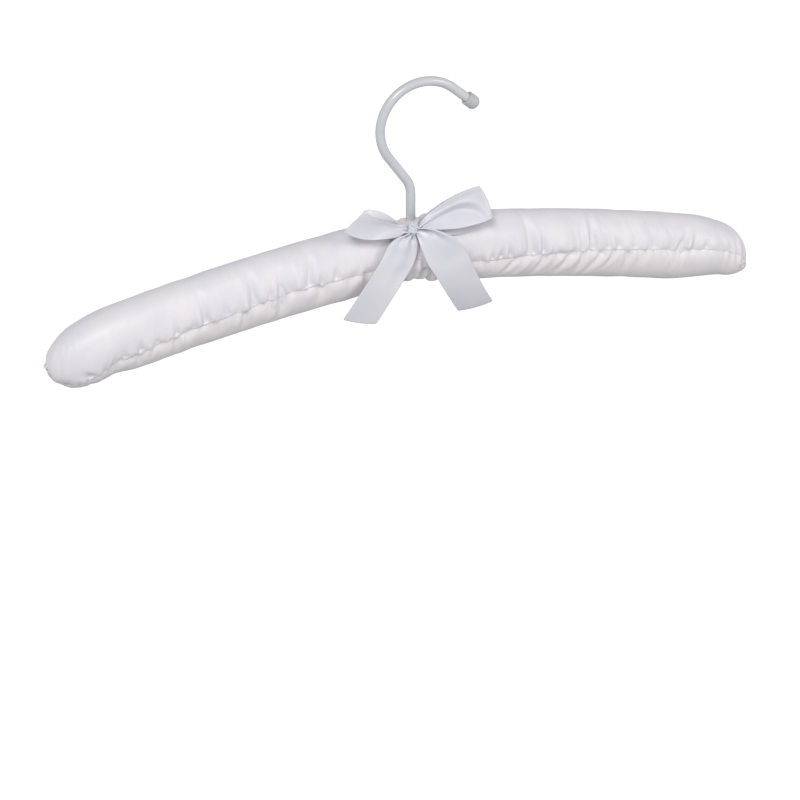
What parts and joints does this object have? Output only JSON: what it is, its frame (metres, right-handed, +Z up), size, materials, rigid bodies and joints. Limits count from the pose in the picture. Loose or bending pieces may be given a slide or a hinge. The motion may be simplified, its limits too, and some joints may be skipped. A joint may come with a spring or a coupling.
{
  "type": "clothes hanger",
  "caption": "Padded satin clothes hanger with drooping rounded arms, a swivelling coated wire hook with a domed tip cap, and a ribbon bow tied at the neck.",
  "frame": {"origin": "the point inside the top bend of the hook that rests on a rail", "axes": "+X along the arms towards the side where the hook opens, -Y towards the side with the bow, +Z up along the shank"},
  "size_m": [0.3834, 0.0342, 0.1337],
  "materials": {
    "satin": "satin weave, soft sheen",
    "ribbon": "satin ribbon, soft sheen",
    "thread": "twisted sewing thread",
    "hook_coating": "gloss",
    "cap_plastic": "semi-gloss",
    "steel": "bright drawn",
    "wood": "planed, unfinished",
    "wadding": "matt fibre"
  },
  "bodies": {
    "hook": {"hook_sleeve": "hook_coating", "hook_tip_cap": "cap_plastic", "hook_wire": "steel", "retaining_nut": "steel"},
    "arms": {"core_bar": "wood", "cover_lower_left": "satin", "cover_lower_right": "satin", "cover_upper_left": "satin", "cover_upper_right": "satin", "gather_thread_left": "thread", "gather_thread_right": "thread", "lower_washer": "steel", "padding_left": "wadding", "padding_right": "wadding", "ribbon_knot": "ribbon", "ribbon_loop_left": "ribbon", "ribbon_loop_right": "ribbon", "ribbon_neck_band": "ribbon", "ribbon_tail_left": "ribbon", "ribbon_tail_right": "ribbon", "seam_thread_left": "thread", "seam_thread_right": "thread", "tip_knot_left": "thread", "tip_knot_right": "thread", "upper_washer": "steel"}
  },
  "joints": [
    {"name": "hook_swivel", "type": "hinge", "parent": "hook", "child": "arms", "pos_m": [-0.0074, 0, -0.08464], "axis": [0, 0, 1], "continuous": true}
  ]
}
